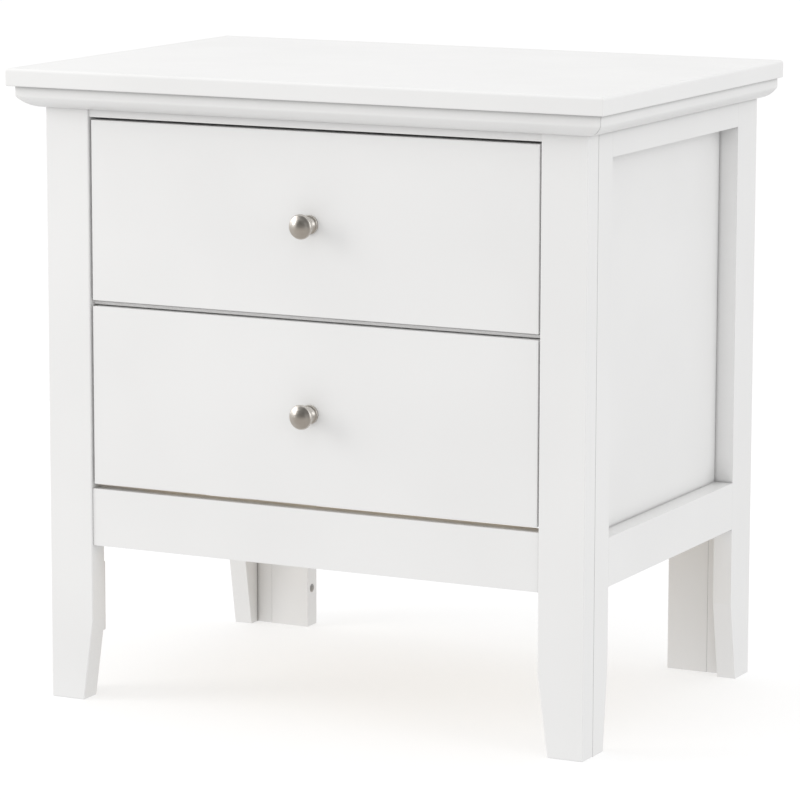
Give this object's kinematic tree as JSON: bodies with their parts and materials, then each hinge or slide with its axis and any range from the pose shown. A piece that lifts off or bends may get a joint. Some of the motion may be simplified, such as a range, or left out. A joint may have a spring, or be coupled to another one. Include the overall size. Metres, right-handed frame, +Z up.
{
  "type": "nightstand with drawers",
  "caption": "White painted nightstand with an overhanging top, crown moulding, tapered legs and inset drawers that pull out on ball-bearing slides.",
  "frame": {"origin": "centre of the footprint at floor level", "axes": "+Z up, -Y towards the front where the drawers open, +X to the right seen from the front"},
  "size_m": [0.616, 0.43, 0.61],
  "materials": {
    "painted_wood": "solid wood and board with satin white lacquer",
    "painted_panel": "thin board with satin white lacquer",
    "drawer_box_wood": "clear-lacquered pale solid wood",
    "drawer_bottom_ply": "pale plywood",
    "bare_softwood": "bare planed softwood",
    "satin_nickel": "satin nickel plate",
    "slide_steel": "bright zinc-plated sheet steel",
    "zinc_screw": "zinc-plated steel"
  },
  "bodies": {
    "case": {"top_panel": "painted_wood", "front_crown_moulding": "painted_wood", "left_crown_moulding": "painted_wood", "right_crown_moulding": "painted_wood", "left_front_leg_face": "painted_wood", "right_front_leg_face": "painted_wood", "left_front_leg_side": "painted_wood", "right_front_leg_side": "painted_wood", "front_leg_blocks": "painted_wood", "left_rear_leg_side": "painted_wood", "right_rear_leg_side": "painted_wood", "left_rear_leg_strip": "painted_wood", "right_rear_leg_strip": "painted_wood", "left_rear_leg_back": "painted_wood", "right_rear_leg_back": "painted_wood", "left_side_top_rail": "painted_wood", "right_side_top_rail": "painted_wood", "left_side_bottom_rail": "painted_wood", "right_side_bottom_rail": "painted_wood", "left_side_panel": "painted_panel", "right_side_panel": "painted_panel", "front_top_rail": "painted_wood", "drawer_divider_rail": "painted_wood", "front_apron": "painted_wood", "rear_top_rail": "painted_wood", "rear_bottom_rail": "painted_wood", "back_panel": "painted_panel", "top_cleats": "bare_softwood", "upper_left_slide_batten": "bare_softwood", "upper_right_slide_batten": "bare_softwood", "lower_left_slide_batten": "bare_softwood", "lower_right_slide_batten": "bare_softwood", "upper_left_case_slide": "slide_steel", "upper_right_case_slide": "slide_steel", "lower_left_case_slide": "slide_steel", "lower_right_case_slide": "slide_steel", "top_screws": "zinc_screw", "case_slide_screws": "zinc_screw"},
    "upper_drawer": {"upper_left_drawer_slide": "slide_steel", "upper_right_drawer_slide": "slide_steel", "upper_drawer_front": "painted_wood", "upper_drawer_left_side": "drawer_box_wood", "upper_drawer_right_side": "drawer_box_wood", "upper_drawer_back": "drawer_box_wood", "upper_drawer_bottom": "drawer_bottom_ply", "upper_knob": "satin_nickel", "upper_knob_screw": "zinc_screw", "upper_drawer_slide_screws": "zinc_screw"},
    "lower_drawer": {"lower_left_drawer_slide": "slide_steel", "lower_right_drawer_slide": "slide_steel", "lower_drawer_front": "painted_wood", "lower_drawer_left_side": "drawer_box_wood", "lower_drawer_right_side": "drawer_box_wood", "lower_drawer_back": "drawer_box_wood", "lower_drawer_bottom": "drawer_bottom_ply", "lower_knob": "satin_nickel", "lower_knob_screw": "zinc_screw", "lower_drawer_slide_screws": "zinc_screw"},
    "upper_ball_cage": {"upper_ball_cages": "slide_steel"},
    "lower_ball_cage": {"lower_ball_cages": "slide_steel"}
  },
  "joints": [
    {"name": "upper_drawer_slide", "type": "slide", "parent": "case", "child": "upper_drawer", "axis": [0, -1, 0], "range_m": [0, 0.26]},
    {"name": "upper_cage_slide", "type": "slide", "parent": "case", "child": "upper_ball_cage", "axis": [0, -1, 0], "range_m": [0, 0.13]},
    {"name": "lower_drawer_slide", "type": "slide", "parent": "case", "child": "lower_drawer", "axis": [0, -1, 0], "range_m": [0, 0.26]},
    {"name": "lower_cage_slide", "type": "slide", "parent": "case", "child": "lower_ball_cage", "axis": [0, -1, 0], "range_m": [0, 0.13]}
  ],
  "couplings": [
    {"joint": "upper_cage_slide", "follows": "upper_drawer_slide", "ratio": 0.5},
    {"joint": "lower_cage_slide", "follows": "lower_drawer_slide", "ratio": 0.5}
  ]
}
